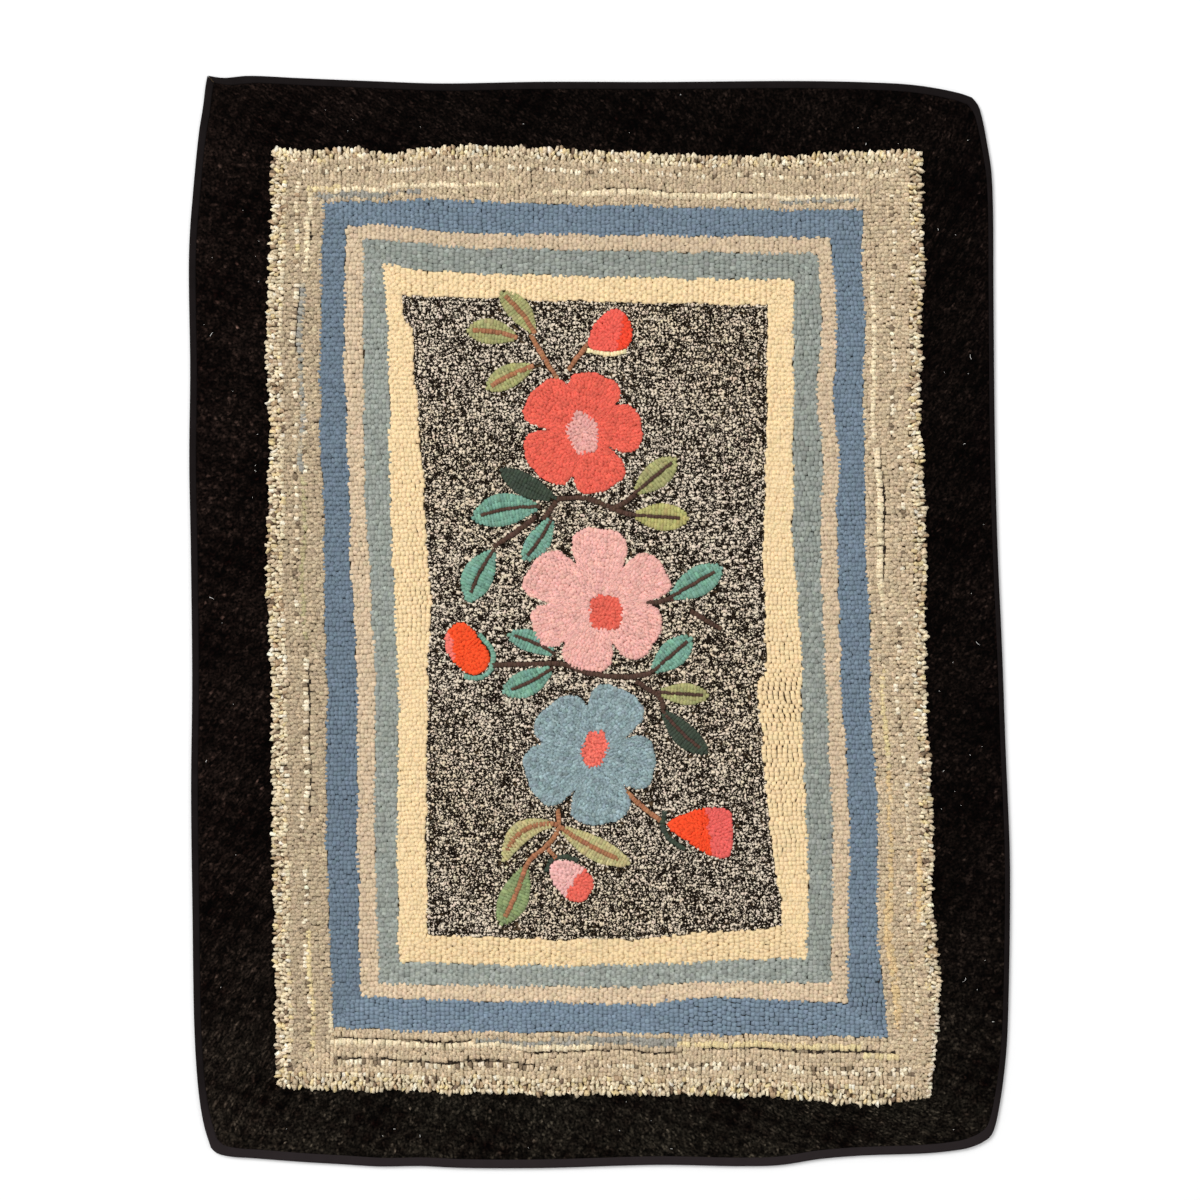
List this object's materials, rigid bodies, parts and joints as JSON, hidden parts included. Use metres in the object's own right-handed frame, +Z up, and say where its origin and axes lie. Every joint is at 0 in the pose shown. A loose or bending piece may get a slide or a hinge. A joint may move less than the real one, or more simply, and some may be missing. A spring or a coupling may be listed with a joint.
{
  "type": "hooked rug",
  "caption": "Flat hooked rug with a looped wool pile: flowers and leaves on a flecked field, framed by plain bands and a wide dark border, edge bound with tape.",
  "frame": {"origin": "bottom centre of the rug's box, on the floor", "axes": "+X across the width, +Y along the length towards the upper edge of the picture, +Z up out of the pile"},
  "size_m": [0.9148, 1.2173, 0.0092],
  "materials": {
    "wool_pile": "looped wool pile, matt",
    "cotton_tape": "woven twill, matt"
  },
  "bodies": {
    "root": {"rug_pile": "wool_pile", "binding_tape": "cotton_tape"}
  },
  "joints": []
}
